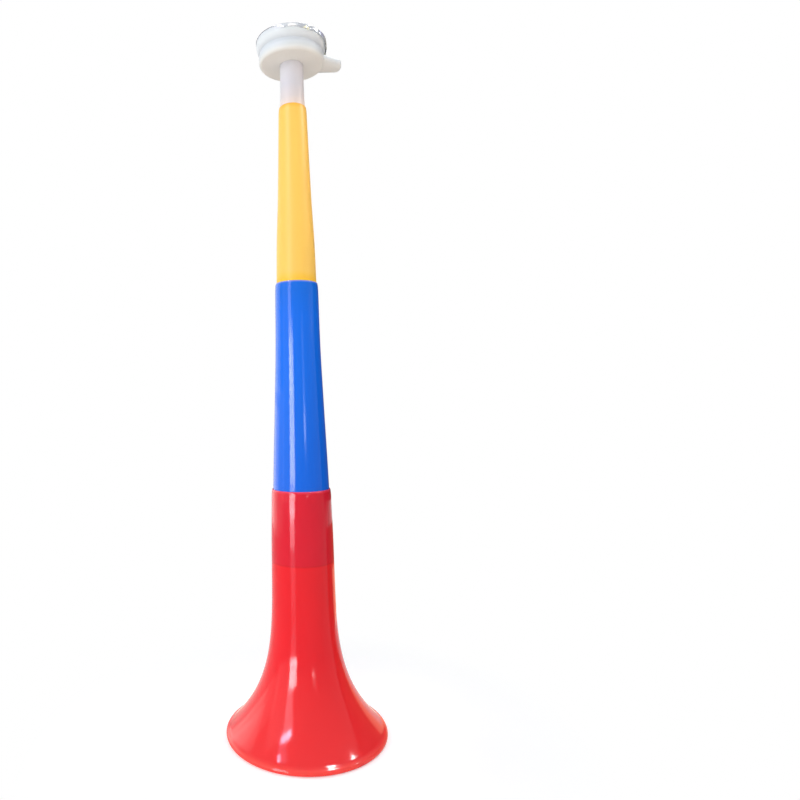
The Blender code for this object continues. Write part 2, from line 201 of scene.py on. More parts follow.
# Name, azimuth, distance and height of a lamp, its width and height, its radiance, the height on
# the horn's axis that it faces, its colour and use, and for a few its lean and its spread.
# Angles are in degrees, and the azimuth is taken as that of the cards.
LAMPS = [
    ("strip", -37, 2.0, 0.26, (0.74, 0.52), 23.0, 0.26, (0.97, 0.94, 1.0), MIRRORED),
    ("strip_foot", -38, 1.0, 0.0275, (0.36, 0.053), 21.0, 0.0275, PINKISH, MIRRORED),
    ("strip_low", -38, 0.3, 0.085, (0.085, 0.06), 9.5, 0.085, PINKISH, MIRRORED),
    ("strip_lowest", -38, 0.3, 0.0275, (0.085, 0.053), 2.2, 0.0275, PINK, MIRRORED),
    ("strip_trace", -38, 0.3, 0.0275, (0.055, 0.053), 2.0, 0.0275, PINK, MIRRORED),
    ("strip_faint", -42, 1.0, 0.62, (0.30, 0.75), 5.8, 0.02, (1.0, 0.86, 1.0), MIRRORED),
    ("strip_top", -46, 1.0, 1.05, (0.38, 0.114), 50.0, 0.02, VIOLET, MIRRORED, -8),
    ("strip_tail", -54, 1.0, 1.45, (0.31, 0.31), 3.0, 0.02, (0.95, 0.70, 1.0), MIRRORED),
    ("strip_end", -61, 1.0, 1.50, (0.09, 0.14), 46.0, 0.02, VIOLET, MIRRORED),
    ("window", -74, 1.1, 0.5, (2.0, 1.4), 1.1, 0.5, COOL, SHADING),
    ("window_near", -62, 1.1, 0.5, (0.85, 1.4), 1.0, 0.5, COOL, MIRRORED),
    ("window_far", -124, 1.0, 0.53, (0.84, 0.54), 1.3, 0.53, COOL, MIRRORED),
    ("window_low", -128, 0.38, 0.135, (0.30, 0.15), 1.0, 0.135, (1.0, 0.9, 0.82), MIRRORED),
    ("window_halo", -112, 0.38, 0.145, (0.56, 0.19), 0.8, 0.145, (1.0, 0.92, 0.88), MIRRORED),
    ("rim_warm", 140, 0.225, 0.023, (0.12, 0.044), 1.3, 0.023, (1.0, 0.60, 0.40), MIRRORED),
    ("front", -14, 1.3, 0.6, (0.9, 0.9), 2.05, 0.25, COOL, SHADING),
    ("table_bounce", 0, 0.5, 0.03, (0.9, 0.5), 0.42, 2.0, WARM, SHADING),
    ("fill_high", 70, 0.7, 0.375, (0.25, 0.10), 0.8, 0.375, (1.0, 0.78, 0.58), SHADING, 0, 30),
    ("flare_right", 122, 0.22, 0.20, (0.08, 0.08), 0.62, 0.0, FLARE_TINT, SHADING, 0, 40),
    ("flare_left", -112, 0.22, 0.20, (0.08, 0.08), 0.3, 0.0, FLARE_TINT, SHADING, 0, 40),
    ("ceiling", 70, 0.25, 1.7, (1.1, 1.1), 1.15, 0.0, WHITE, SHADING),
    ("glint", 20, 2.0, 0.27, (0.26, 0.11), 13.0, 0.27, COOL, MIRRORED),
    ("glint_halo", 21, 2.0, 0.36, (0.36, 0.42), 1.8, 0.36, COOL, MIRRORED),
    ("ceiling_spot", 84, 0.85, 0.96, (0.11, 0.11), 150.0, 0.0, WHITE, MIRRORED),
    ("ceiling_near", 92, 0.36, 1.25, (0.34, 0.13), 170.0, 0.0, WHITE, MIRRORED),
]


def arc(centre, radii, start, end, steps):
    """Points on an elliptical arc in the outline plane, angles in degrees from +radius."""
    points = []
    for step in range(steps + 1):
        angle = math.radians(start + (end - start) * step / steps)
        across, rise = radii[0] * math.cos(angle), radii[1] * math.sin(angle)
        points.append((centre[0] + across, centre[1] + rise))
    return points


def bezier(start, first, second, end, steps):
    """Points on a cubic curve in the outline plane, without its first point."""
    handles = (start, first, second, end)
    points = []
    for step in range(1, steps + 1):
        t = step / steps
        weights = ((1 - t) ** 3, 3 * t * (1 - t) ** 2, 3 * t**2 * (1 - t), t**3)
        points.append(tuple(sum(w * p[axis] for w, p in zip(weights, handles)) for axis in (0, 1)))
    return points


def smooth_radius(stations, height):
    """Radius at a height, on a smooth curve through (height, radius) stations, lowest first."""
    count = len(stations)
    slopes = [
        (stations[i + 1][1] - stations[i][1]) / (stations[i + 1][0] - stations[i][0])
        for i in range(count - 1)
    ]
    index = 0
    while index < count - 2 and height > stations[index + 1][0]:
        index += 1
    start_slope = slopes[index] if index == 0 else (slopes[index - 1] + slopes[index]) / 2
    end_slope = slopes[index] if index == count - 2 else (slopes[index] + slopes[index + 1]) / 2
    low, high = stations[index], stations[index + 1]
    span = high[0] - low[0]
    t = (height - low[0]) / span
    return (
        (2 * t**3 - 3 * t**2 + 1) * low[1]
        + (t**3 - 2 * t**2 + t) * span * start_slope
        + (3 * t**2 - 2 * t**3) * high[1]
        + (t**3 - t**2) * span * end_slope
    )


def straight_radius(low, high, height):
    """Radius at a height, on the straight line between two (height, radius) stations."""
    return low[1] + (high[1] - low[1]) * (height - low[0]) / (high[0] - low[0])


def finish_mesh(name, mesh, angle=SMOOTH_ANGLE):
    """A linked, smoothly shaded object from a bmesh."""
    data = bpy.data.meshes.new(name)
    mesh.to_mesh(data)
    mesh.free()
    data.shade_smooth()
    data.set_sharp_from_angle(angle=math.radians(angle))
    piece = bpy.data.objects.new(name, data)
    bpy.context.scene.collection.objects.link(piece)
    return piece


def turned(name, outline, lift=0.0):
    """A solid turned round the Z axis, from a closed outline that runs down its outer side."""
    mesh = bmesh.new()
    rings = []
    for radius, height in outline:
        ring = []
        for step in range(SEGMENTS):
            angle = 2 * math.pi * step / SEGMENTS
            x, y = radius * math.cos(angle), radius * math.sin(angle)
            ring.append(mesh.verts.new((x, y, height + lift)))
        rings.append(ring)
    for upper, lower in zip(rings, rings[1:] + rings[:1]):
        for step in range(SEGMENTS):
            after = (step + 1) % SEGMENTS
            mesh.faces.new([upper[step], lower[step], lower[after], upper[after]])
    mesh.normal_update()
    return finish_mesh(name, mesh)


def new_material(name):
    """A node material and its Principled shader."""
    material = bpy.data.materials.new(name)
    material.use_nodes = True
    shader = material.node_tree.nodes["Principled BSDF"]
    return material, shader


def add_node(owner, kind, **values):
    """A node in a material or world, with values on its inputs, whose spaces are written _."""
    node = owner.node_tree.nodes.new("ShaderNode" + kind)
    for name, value in values.items():
        node.inputs[name.replace("_", " ")].default_value = value
    return node


def own_place(owner):
    """Where a point lies in the object's own coordinates."""
    return add_node(owner, "TexCoord").outputs["Object"]


def own_height(owner):
    """Height above the ground at rest, in the piece's own coordinates."""
    split = add_node(owner, "SeparateXYZ")
    owner.node_tree.links.new(own_place(owner), split.inputs["Vector"])
    return split.outputs["Z"]


def add_noise(owner, scale, detail, roughness, stretch=(1.0, 1.0, 1.0)):
    """A noise value in the object's own coordinates."""
    mapping = add_node(owner, "Mapping", Scale=stretch)
    noise = add_node(owner, "TexNoise", Scale=scale, Detail=detail, Roughness=roughness)
    owner.node_tree.links.new(own_place(owner), mapping.inputs["Vector"])
    owner.node_tree.links.new(mapping.outputs["Vector"], noise.inputs["Vector"])
    return noise.outputs["Fac"]


def add_bump(owner, height, strength, depth, below=None):
    """A normal bent by a height value, on top of another normal if one is given."""
    bump = add_node(owner, "Bump", Strength=strength, Distance=depth)
    owner.node_tree.links.new(height, bump.inputs["Height"])
    if below is not None:
        owner.node_tree.links.new(below, bump.inputs["Normal"])
    return bump.outputs["Normal"]


def mapped(owner, source, low, high, start, end):
    """A value rescaled from low..high to start..end, held at its ends."""
    scale = add_node(owner, "MapRange", From_Min=low, From_Max=high, To_Min=start, To_Max=end)
    owner.node_tree.links.new(source, scale.inputs["Value"])
    return scale.outputs["Result"]


def combined(owner, operation, first, second):
    """Two values brought together by a maths operation."""
    maths = add_node(owner, "Math")
    maths.operation = operation
    owner.node_tree.links.new(first, maths.inputs[0])
    owner.node_tree.links.new(second, maths.inputs[1])
    return maths.outputs[0]


def blended(owner, factor, low_colour, high_colour):
    """A colour between two, each of them a colour or another node's output."""
    mix = add_node(owner, "Mix")
    mix.data_type = "RGBA"
    owner.node_tree.links.new(factor, mix.inputs["Factor"])
    for socket, value in ((mix.inputs[6], low_colour), (mix.inputs[7], high_colour)):
        if isinstance(value, tuple):
            socket.default_value = (*value, 1.0)
        else:
            owner.node_tree.links.new(value, socket)
    return mix.outputs[2]


def add_ramp(owner, factor, entries, interpolation="LINEAR"):
    """A colour that follows (place, colour) entries, lowest first."""
    ramp = add_node(owner, "ValToRGB")
    ramp.color_ramp.interpolation = interpolation
    elements = ramp.color_ramp.elements
    elements.remove(elements[-1])
    for index, (place, colour) in enumerate(entries):
        element = elements.new(place) if index else elements[0]
        element.position = place
        element.color = (*colour, 1.0)
    owner.node_tree.links.new(factor, ramp.inputs["Fac"])
    return ramp.outputs["Color"]


def height_colour(owner, colours):
    """A colour that follows (height, colour) entries, lowest first."""
    low, high = colours[0][0], colours[-1][0]
    entries = [((height - low) / (high - low), colour) for height, colour in colours]
    return add_ramp(owner, mapped(owner, own_height(owner), low, high, 0.0, 1.0), entries)


LIGHT_DEPTH = 0.004  # how far light runs in the translucent plastic
LIGHT_LEAST = 0.15  # share of that depth for a colour that the plastic swallows


def moulded_plastic(name, colours, roughness, translucency=0.0, specular=0.2):
    """Injection-moulded plastic: faint flow marks, uneven gloss, hair scratches and dust nibs.

    The colours are (height, colour) entries, for a piece that changes along its length; some
    entries are painted light and shade.
    """
    material, shader = new_material(name)
    links = material.node_tree.links

    body = height_colour(material, colours)
    darker = add_node(material, "HueSaturation", Value=0.95)
    links.new(body, darker.inputs["Color"])
    flow = add_noise(material, scale=11.0, detail=3.0, roughness=0.5, stretch=(1.0, 1.0, 0.2))
    streaky = mapped(material, flow, 0.3, 0.7, 0.0, 1.0)
    colour = blended(material, streaky, darker.outputs["Color"], body)
    links.new(colour, shader.inputs["Base Color"])

    handling = add_noise(material, scale=55.0, detail=4.0, roughness=0.6)
    gloss = mapped(material, handling, 0.35, 0.75, roughness, roughness + 0.05)
    scratches = add_noise(
        material, scale=900.0, detail=2.0, roughness=0.6, stretch=(1.0, 1.0, 0.03)
    )
    scuffed = mapped(material, scratches, 0.66, 0.74, 0.0, 0.10)
    links.new(combined(material, "ADD", gloss, scuffed), shader.inputs["Roughness"])

    waviness = add_noise(material, scale=70.0, detail=1.0, roughness=0.3, stretch=(1.0, 1.0, 0.35))
    wave = add_bump(material, waviness, strength=0.02, depth=0.001)
    nibs = add_node(material, "TexVoronoi", Scale=95.0)
    links.new(own_place(material), nibs.inputs["Vector"])
    nib_height = mapped(material, nibs.outputs["Distance"], 0.0, 0.05, 1.0, 0.0)
    nib = add_bump(material, nib_height, strength=0.5, depth=0.0002, below=wave)
    links.new(nib, shader.inputs["Normal"])

    middle_colour = colours[len(colours) // 2][1]
    depths = tuple(LIGHT_LEAST + (1 - LIGHT_LEAST) * part for part in middle_colour)
    shader.inputs["IOR"].default_value = 1.49
    shader.inputs["Specular IOR Level"].default_value = specular
    shader.inputs["Subsurface Weight"].default_value = translucency
    shader.inputs["Subsurface Radius"].default_value = depths
    shader.inputs["Subsurface Scale"].default_value = LIGHT_DEPTH
    return material


FACET_SCALE = 215.0
FACET_START = (-0.023, -0.030, 0.017)  # moves the pattern, so that its tones fall well
# painted reflections: the tones of the film's facets
FACET_COLOURS = [
    (0.0, (0.50, 0.53, 0.58)),
    (0.14, (0.60, 0.64, 0.69)),
    (0.38, (0.68, 0.72, 0.76)),
    (0.62, (0.95, 0.96, 0.97)),
    (0.80, (0.90, 0.88, 0.68)),
    (0.89, (0.54, 0.57, 0.78)),
    (0.94, (0.95, 0.96, 0.97)),
]
FILM_FOLD_COLOUR = (0.60, 0.63, 0.67)
FILM_FOLD_BELOW_TOP = (0.0014, 0.0010)  # the fold's painted grey shade comes in over this height
FILM_FLAT_COLOUR = (0.90, 0.91, 0.92)
FILM_FLAT_BELOW_TOP = (0.00032, 0.00024)  # and the flat top's painted pale sheen over this one


def film_material(name):
    """Thin shiny film: painted reflections in silvery and grey facets, with a faint yellow and
    blue play.
    """
    material, shader = new_material(name)
    links = material.node_tree.links
    start = add_node(material, "VectorMath")
    start.operation = "ADD"
    start.inputs[1].default_value = FACET_START
    links.new(own_place(material), start.inputs[0])
    facets = add_node(material, "TexVoronoi", Scale=FACET_SCALE)
    links.new(start.outputs["Vector"], facets.inputs["Vector"])
    split = add_node(material, "SeparateColor")
    links.new(facets.outputs["Color"], split.inputs["Color"])
    # the facets' painted reflections
    colour = add_ramp(material, split.outputs["Red"], FACET_COLOURS, "CONSTANT")
    height = own_height(material)
    # painted shade on the fold, then a painted pale sheen on the flat top
    for (low, high), shade in (
        (FILM_FOLD_BELOW_TOP, FILM_FOLD_COLOUR),
        (FILM_FLAT_BELOW_TOP, FILM_FLAT_COLOUR),
    ):
        reached = mapped(material, height, HORN_TOP - low, HORN_TOP - high, 0.0, 1.0)
        colour = blended(material, reached, colour, shade)
    links.new(colour, shader.inputs["Base Color"])
    creases = add_noise(material, scale=520.0, detail=3.0, roughness=0.6)
    crumple = add_bump(material, creases, strength=0.15, depth=0.0003)
    links.new(crumple, shader.inputs["Normal"])
    shader.inputs["Metallic"].default_value = 0.35
    shader.inputs["Roughness"].default_value = 0.14
    return material


def socket_stations(top, inner):
    """Outer stations of a section's neck and shoulder, which wrap the next section's foot."""
    foot, seam = inner[0], inner[1]
    wrap = GAP + WALL
    shoulder = straight_radius(foot, seam, top - MOUTH_ROUND)
    return [(top - LAP, foot[1] + wrap), (top - MOUTH_ROUND, shoulder + wrap)]


# Outer stations of the tubes, (height, radius), lowest first: foot, seam, and on upwards
stem_stations = [
    (STEM_SEAM - LAP, 0.0103),
    (STEM_SEAM, 0.0092),
    (STEM_SEAM + 0.0155, STEM_RADIUS),
    (DRUM_BASE, STEM_RADIUS),
]
upper_stations = [
    (UPPER_SEAM - LAP, 0.01445),
    (UPPER_SEAM, 0.0140),
    (UPPER_SEAM + 0.028, 0.0135),
    (UPPER_SEAM + 0.061, 0.01215),
    *socket_stations(STEM_SEAM, stem_stations),
]
middle_stations = [
    (MIDDLE_SEAM - LAP, 0.0193),
    (MIDDLE_SEAM, 0.0186),
    (MIDDLE_SEAM + 0.0545, 0.01675),
    *socket_stations(UPPER_SEAM, upper_stations),
]


def mouth(top, shoulder_radius, seam_radius):
    """A section's rounded mouth: points from its bore over the lip and down the outside."""
    bore = seam_radius + SNUG
    lip = bore + MOUTH_LIP
    edge = MOUTH_LIP / 2
    fall = (shoulder_radius - lip, MOUTH_ROUND - edge)
    points = [(bore, top - 2 * edge)]
    points += arc((bore + edge, top - edge), (edge, edge), *LIP_ARC, LIP_STEPS)
    return points + arc((lip, top - MOUTH_ROUND), fall, 90, 0, MOUTH_STEPS)


def section(name, stations, inner_stations):
    """A tapered tube, whose rounded mouth on top holds the tube with the inner stations."""
    bottom, shoulder = stations[0][0], stations[-1]
    rim = mouth(shoulder[0] + MOUTH_ROUND, shoulder[1], inner_stations[1][1])
    drop = bottom - shoulder[0]
    heights = [shoulder[0] + drop * step / TUBE_STEPS for step in range(1, TUBE_STEPS + 1)]
    outer = [(smooth_radius(stations, height), height) for height in heights]
    inner = [(radius - WALL, height) for radius, height in outer]
    return turned(name, rim + outer + inner[::-1] + [(shoulder[1] - WALL, shoulder[0])])


def flare_walls(neck):
    """Outside and inside of the bell from its neck down to the bead, and the lean at the end."""
    bead_height = BEAD_RADIUS - FOOT_FLAT
    throat = neck[0]
    reach = BELL_RADIUS - neck[1] - THROAT_TAPER * (throat - bead_height)
    flare = reach / ((throat - bead_height) / throat) ** FLARE_POWER
    last = bead_height + BEAD_RADIUS + BEAD_BLEND
    outside, inside = [neck[::-1]], [(neck[1] - WALL, neck[0])]
    for step in range(1, BELL_STEPS + 1):
        height = throat + (last - throat) * math.sin(math.pi / 2 * step / BELL_STEPS)
        share = (throat - height) / throat
        radius = neck[1] + THROAT_TAPER * (throat - height) + flare * share**FLARE_POWER
        slope = THROAT_TAPER + flare * FLARE_POWER / throat * share ** (FLARE_POWER - 1)
        lean = math.atan(slope)
        outside.append((radius, height))
        inside.append((radius - WALL * math.cos(lean), height - WALL * math.sin(lean)))
    return outside, inside, lean


def bell_piece():
    """The bell section, with a fine flare that runs into a rolled bead."""
    neck, shoulder = socket_stations(MIDDLE_SEAM, middle_stations)
    outer = mouth(MIDDLE_SEAM, shoulder[1], middle_stations[1][1])
    for step in range(1, SHOULDER_STEPS):
        share = step / SHOULDER_STEPS
        radius = shoulder[1] + (neck[1] - shoulder[1]) * math.sin(math.pi / 2 * share)
        outer.append((radius, shoulder[0] + (neck[0] - shoulder[0]) * share))
    outside, inside, lean = flare_walls(neck)
    bead_height = BEAD_RADIUS - FOOT_FLAT
    centre = (BELL_RADIUS - BEAD_RADIUS, bead_height)
    foot_angle = math.degrees(math.asin(bead_height / BEAD_RADIUS))
    bead = (BEAD_RADIUS, BEAD_RADIUS)
    bead_outside = arc(centre, bead, BEAD_START, -foot_angle, BEAD_STEPS)
    bead_inside = arc(centre, bead, 180 + foot_angle, BEAD_END, BEAD_INNER_STEPS)
    way_out = (math.sin(lean), -math.cos(lean))
    turn = math.radians(BEAD_START)
    way_in = (math.sin(turn), -math.cos(turn))
    start, end = outside[-1], bead_outside[0]
    pull = BLEND_PULL * math.dist(start, end)
    first = (start[0] + way_out[0] * pull, start[1] + way_out[1] * pull)
    second = (end[0] - way_in[0] * pull, end[1] - way_in[1] * pull)
    blend = bezier(start, first, second, end, BLEND_STEPS)
    outline = outer + outside + blend + bead_outside[1:] + bead_inside + inside[::-1]
    return turned("horn_bell", outline + [(shoulder[1] - WALL, shoulder[0])])


def stem_piece():
    """The pale stem, open at both ends."""
    length = DRUM_BASE - stem_stations[0][0]
    heights = [DRUM_BASE - length * step / STEM_STEPS for step in range(STEM_STEPS + 1)]
    outer = [(STEM_RADIUS, DRUM_BASE + RING_TOP)]
    outer += [(smooth_radius(stem_stations, height), height) for height in heights]
    bore = [(radius - WALL, height) for radius, height in outer]
    return turned("horn_stem", outer + bore[::-1])


def rounding(radius, distance):
    """How far a round edge draws in, at a distance from the end that it is turned to."""
    depth = max(0.0, radius - distance)
    return radius - math.sqrt(radius**2 - depth**2)


def nozzle_section(x, half_width, half_height):
    """One closed section of the mouthpiece, a squared oval that lies across X."""
    power = 2 / NOZZLE_SQUARENESS
    points = []
    for step in range(NOZZLE_SEGMENTS):
        angle = 2 * math.pi * (step + 0.5) / NOZZLE_SEGMENTS
        across, rise = math.cos(angle), math.sin(angle)
        y = half_width * math.copysign(abs(across) ** power, across)
        z = half_height * math.copysign(abs(rise) ** power, rise)
        points.append((x, y, NOZZLE_RISE + z))
    return points


def lofted(name, sections):
    """A solid skinned over sections that follow each other along +X, with closed ends."""
    mesh = bmesh.new()
    loops = [[mesh.verts.new(point) for point in points] for points in sections]
    for near, far in zip(loops, loops[1:]):
        for step in range(NOZZLE_SEGMENTS):
            after = (step + 1) % NOZZLE_SEGMENTS
            mesh.faces.new([near[step], near[after], far[after], far[step]])
    mesh.faces.new(loops[0][::-1])
    mesh.faces.new(loops[-1])
    mesh.normal_update()
    piece = finish_mesh(name, mesh)
    piece.location = (0.0, 0.0, DRUM_BASE)
    return piece


def mouthpiece_rod():
    """The mouthpiece without its bore, growing out of the drum and narrowing to a round tip."""
    root_radius = WAIST_RADIUS - DRUM_WALL / 2
    root_half, tip_half = NOZZLE_ROOT_WIDTH / 2, NOZZLE_TIP_WIDTH / 2
    root_x = math.sqrt(root_radius**2 - root_half**2)
    ends = NOZZLE_REACH - NOZZLE_TIP_ROUND
    places = []
    for step in range(NOZZLE_STEPS + 1):
        share = 1 - (1 - step / NOZZLE_STEPS) ** NOZZLE_CROWDING
        places.append(root_x + (ends - root_x) * share)
    for step in range(1, NOZZLE_STEPS + 1):
        places.append(ends + NOZZLE_TIP_ROUND * math.sin(math.pi / 2 * step / NOZZLE_STEPS))
    sections = []
    for x in places:
        share = (x - root_x) / (NOZZLE_REACH - root_x)
        fillet = NOZZLE_ROOT_ROUND * max(0.0, 1 - (x - root_x) / NOZZLE_ROOT_LENGTH) ** 2
        half_width = root_half + (tip_half - root_half) * share + fillet / 2
        half_width -= rounding(NOZZLE_TIP_ROUND, NOZZLE_REACH - x)
        half_height = NOZZLE_HEIGHT / 2 - rounding(NOZZLE_LIP_ROUND, NOZZLE_REACH - x)
        points = nozzle_section(x, half_width, half_height + fillet / 3)
        if share < NOZZLE_BOW_END:
            bow = 1 - share
            points = [
                (px + bow * (math.sqrt(root_radius**2 - py**2) - root_x) * bow, py, pz)
                for px, py, pz in points
            ]
        sections.append(points)
    return lofted("mouthpiece_rod", sections)


def mouthpiece_bore():
    """The cutter that opens the mouthpiece from its tip into the drum."""
    inner = WAIST_RADIUS - DRUM_WALL
    root_half = NOZZLE_ROOT_WIDTH / 2 - NOZZLE_WALL
    start = math.sqrt(inner**2 - root_half**2) - DRUM_WALL
    height = NOZZLE_HEIGHT / 2 - NOZZLE_WALL
    sections = [
        nozzle_section(start, root_half, height),
        nozzle_section(NOZZLE_REACH + NOZZLE_WALL, NOZZLE_MOUTH_WIDTH / 2, height),
    ]
    return lofted("mouthpiece_bore", sections)


def drum_outline():
    """The cup with its collar, from its rim down the outside and up again inside."""
    inner = WAIST_RADIUS - DRUM_WALL
    bore = STEM_RADIUS + SNUG
    rim = RING_TOP - RING_FLANGE - GAP
    collar_top = DRUM_FLOOR + COLLAR_HEIGHT
    outline = [(WAIST_RADIUS, rim)]
    for step in range(WAIST_STEPS + 1):
        ease = 0.5 - 0.5 * math.cos(math.pi * step / WAIST_STEPS)
        height = WAIST_HIGH + (WAIST_LOW - WAIST_HIGH) * step / WAIST_STEPS
        outline.append((WAIST_RADIUS + (DRUM_RADIUS - WAIST_RADIUS) * ease, height))
    corner = (DRUM_CORNER, DRUM_CORNER)
    outline += arc((DRUM_RADIUS - DRUM_CORNER, DRUM_CORNER), corner, 0, -90, DRUM_CORNER_STEPS)
    outline += [(bore, 0.0), (bore, collar_top)]
    outline += [(COLLAR_RADIUS, collar_top), (COLLAR_RADIUS, DRUM_FLOOR)]
    corner = (DRUM_INNER_CORNER, DRUM_INNER_CORNER)
    centre = (inner - DRUM_INNER_CORNER, DRUM_FLOOR + DRUM_INNER_CORNER)
    outline += arc(centre, corner, -90, 0, DRUM_INNER_STEPS)
    return outline + [(inner, rim)]


def drum_piece():
    """The cup with its collar and the mouthpiece moulded on its side."""
    drum = turned("horn_drum", drum_outline(), DRUM_BASE)
    rod, cutter = mouthpiece_rod(), mouthpiece_bore()
    for operation, tool in (("UNION", rod), ("DIFFERENCE", cutter)):
        change = drum.modifiers.new(operation, "BOOLEAN")
        change.operation = operation
        change.solver = "EXACT"
        change.object = tool
    bpy.context.view_layer.update()
    shaped = drum.evaluated_get(bpy.context.evaluated_depsgraph_get())
    data = bpy.data.meshes.new_from_object(shaped)
    drum.modifiers.clear()
    drum.data = data
    data.shade_smooth()
    data.set_sharp_from_angle(angle=math.radians(SMOOTH_ANGLE))
    for tool in (rod, cutter):
        bpy.data.objects.remove(tool, do_unlink=True)
    return drum


def ring_piece():
    """The white ring round the cup's rim, softly rounded below."""
    inner = WAIST_RADIUS + SNUG / 2
    top_edge = (RING_TOP_EDGE, RING_TOP_EDGE)
    centre = (RING_RADIUS - RING_TOP_EDGE, RING_TOP - RING_TOP_EDGE)
    across, rise = RING_TUCK
    start = (RING_RADIUS, RING_BOTTOM + RING_LOW_ROUND)
    first = (RING_RADIUS, RING_BOTTOM + RING_BULGE * RING_LOW_ROUND)
    second = (inner + across * (RING_RADIUS - inner), RING_BOTTOM + rise * RING_LOW_ROUND)
    outline = [(RING_OPENING, RING_TOP)]
    outline += arc(centre, top_edge, 90, 0, RING_EDGE_STEPS)
    outline += [start] + bezier(start, first, second, (inner, RING_BOTTOM), RING_ROUND_STEPS)
    outline += [(inner, RING_TOP - RING_FLANGE), (RING_OPENING, RING_TOP - RING_FLANGE)]
    return turned("horn_ring", outline, DRUM_BASE)


def around(table, degrees):
    """A value in a direction, on straight lines between a table's (degrees, value) entries."""
    turn = (degrees - table[0][0]) % 360 + table[0][0]
    index = next(place for place, (end, _) in enumerate(table[1:]) if turn <= end)
    (start, low), (end, high) = table[index], table[index + 1]
    return low + (high - low) * (turn - start) / (end - start)


def film_columns(draw):
    """The pleats' valleys and ridges in turn, as (angle, ridge height, raggedness of the hem)."""
    columns = []
    for pleat in range(FILM_PLEATS):
        for side in (0, 1):
            jitter = draw.uniform(-PLEAT_JITTER, PLEAT_JITTER)
            angle = 2 * math.pi * (pleat + side / 2 + jitter / 2) / FILM_PLEATS
            loose = around(FILM_LOOSE, math.degrees(angle))
            ridge = loose * side * draw.uniform(PLEAT_LEAST, 1.0)
            columns.append((angle, ridge, draw.uniform(-1.0, 1.0)))
    return columns


def film_rows(draw, columns, top):
    """(Radius, height) of every column, row by row from the flat top to the skirt's hem."""
    bend = RING_TOP_EDGE + FILM_SHEET
    fold_radius, fold_height = RING_RADIUS - RING_TOP_EDGE, top - bend
    rows = []
    for share in FLAT_SHARES:
        pucker = FLAT_PUCKER * share**PUCKER_POWER
        rows.append([(share * fold_radius, top - pucker * ridge) for _, ridge, _ in columns])
    for degrees in FOLD_ANGLES:
        looseness = 1 - degrees / 90
        turn = math.radians(degrees)
        row = []
        for _, ridge, _ in columns:
            swell = FOLD_SWELL * draw.uniform(0, 1)
            out = bend + swell + looseness * PLEAT_DEPTH * ridge
            row.append((fold_radius + out * math.cos(turn), fold_height + bend * math.sin(turn)))
        rows.append(row)
    for share in SKIRT_SHARES:
        depth = PLEAT_DEPTH + PLEAT_SPREAD * share
        row = []
        for angle, ridge, ragged in columns:
            drop = around(FILM_SKIRT, math.degrees(angle)) * (1 + HEM_RAGGED * ragged)
            height = fold_height + bend * SKIRT_START - max(0.0, drop - bend) * share
            swell = SKIRT_SWELL * draw.uniform(0, 1)
            row.append((fold_radius + bend + swell + depth * ridge, height))
        rows.append(row)
    return rows


def film_piece():
    """The stretched film: a flat disc whose edge folds down over the ring in crisp pleats."""
    draw = random.Random(FILM_SEED)
    columns = film_columns(draw)
    top = HORN_TOP - FILM_SHEET - FILM_HEADROOM
    mesh = bmesh.new()
    centre = mesh.verts.new((0.0, 0.0, top))
    loops = []
    for row in film_rows(draw, columns, top):
        loop = []
        for (angle, _, _), (radius, height) in zip(columns, row):
            point = (radius * math.cos(angle), radius * math.sin(angle), height)
            loop.append(mesh.verts.new(point))
        loops.append(loop)
    count = len(columns)
    for step in range(count):
        after = (step + 1) % count
        mesh.faces.new([centre, loops[0][step], loops[0][after]])
        for upper, lower in zip(loops, loops[1:]):
            mesh.faces.new([upper[step], lower[step], lower[after], upper[after]])
    bmesh.ops.triangulate(mesh, faces=mesh.faces[:])
    mesh.normal_update()
    film = finish_mesh("horn_film", mesh, FILM_SMOOTH_ANGLE)
    thick = film.modifiers.new("Thickness", "SOLIDIFY")
    thick.thickness = FILM_SHEET
    thick.offset = 0.0
    return film


def dress(piece, material, body, node):
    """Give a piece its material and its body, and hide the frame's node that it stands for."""
    piece.data.materials.append(material)
    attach(piece, body)
    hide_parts(node)


# Colours against the height above the ground at rest, some of them painted light and shade
RED = (0.895, 0.014, 0.023)
BLUE = (0.003, 0.158, 0.85)
BLUE_HIGH = (0.004, 0.152, 0.77)
ORANGE = (1.0, 0.60, 0.122)
RING_WHITE = (0.76, 0.80, 0.82)
BLUE_FOOT = MIDDLE_SEAM - LAP  # the blue tube's foot at rest: above this the red carries a painted dark band, painted shade of the blue tube inside its wall
RED_COLOURS = [
    # painted light: the bead's lip is paler, as where it catches light from the floor
    (0.0028, (0.98, 0.070, 0.060)),
    # the flare, up to 48 mm, is a touch paler than the tube above it
    (0.0036, (0.92, 0.032, 0.036)),
    (0.0300, (0.92, 0.024, 0.030)),
    (0.0480, RED),
    (BLUE_FOOT - 0.0004, RED),
    # painted shade: a darker line, then a dark band up to the mouth, where the blue tube lies
    # inside
    (BLUE_FOOT + 0.0002, (0.70, 0.010, 0.020)),
    (BLUE_FOOT + 0.0008, (0.77, 0.011, 0.030)),
    (MIDDLE_SEAM - 0.0016, (0.76, 0.011, 0.032)),
    # painted highlight: the mouth's lip turns pale pink, as where its rim catches the light
    (MIDDLE_SEAM - 0.0006, (0.92, 0.030, 0.080)),
    (MIDDLE_SEAM, (0.97, 0.090, 0.190)),
]
BLUE_COLOURS = [
    (MIDDLE_SEAM, (0.003, 0.140, 0.79)),
    (MIDDLE_SEAM + 0.07, BLUE),
    (UPPER_SEAM - 0.024, BLUE),
    (UPPER_SEAM - 0.006, BLUE_HIGH),
    (UPPER_SEAM - 0.0012, BLUE_HIGH),
    # painted highlight: a pale lavender line on the mouth's rim
    (UPPER_SEAM, (0.30, 0.36, 0.90)),
]
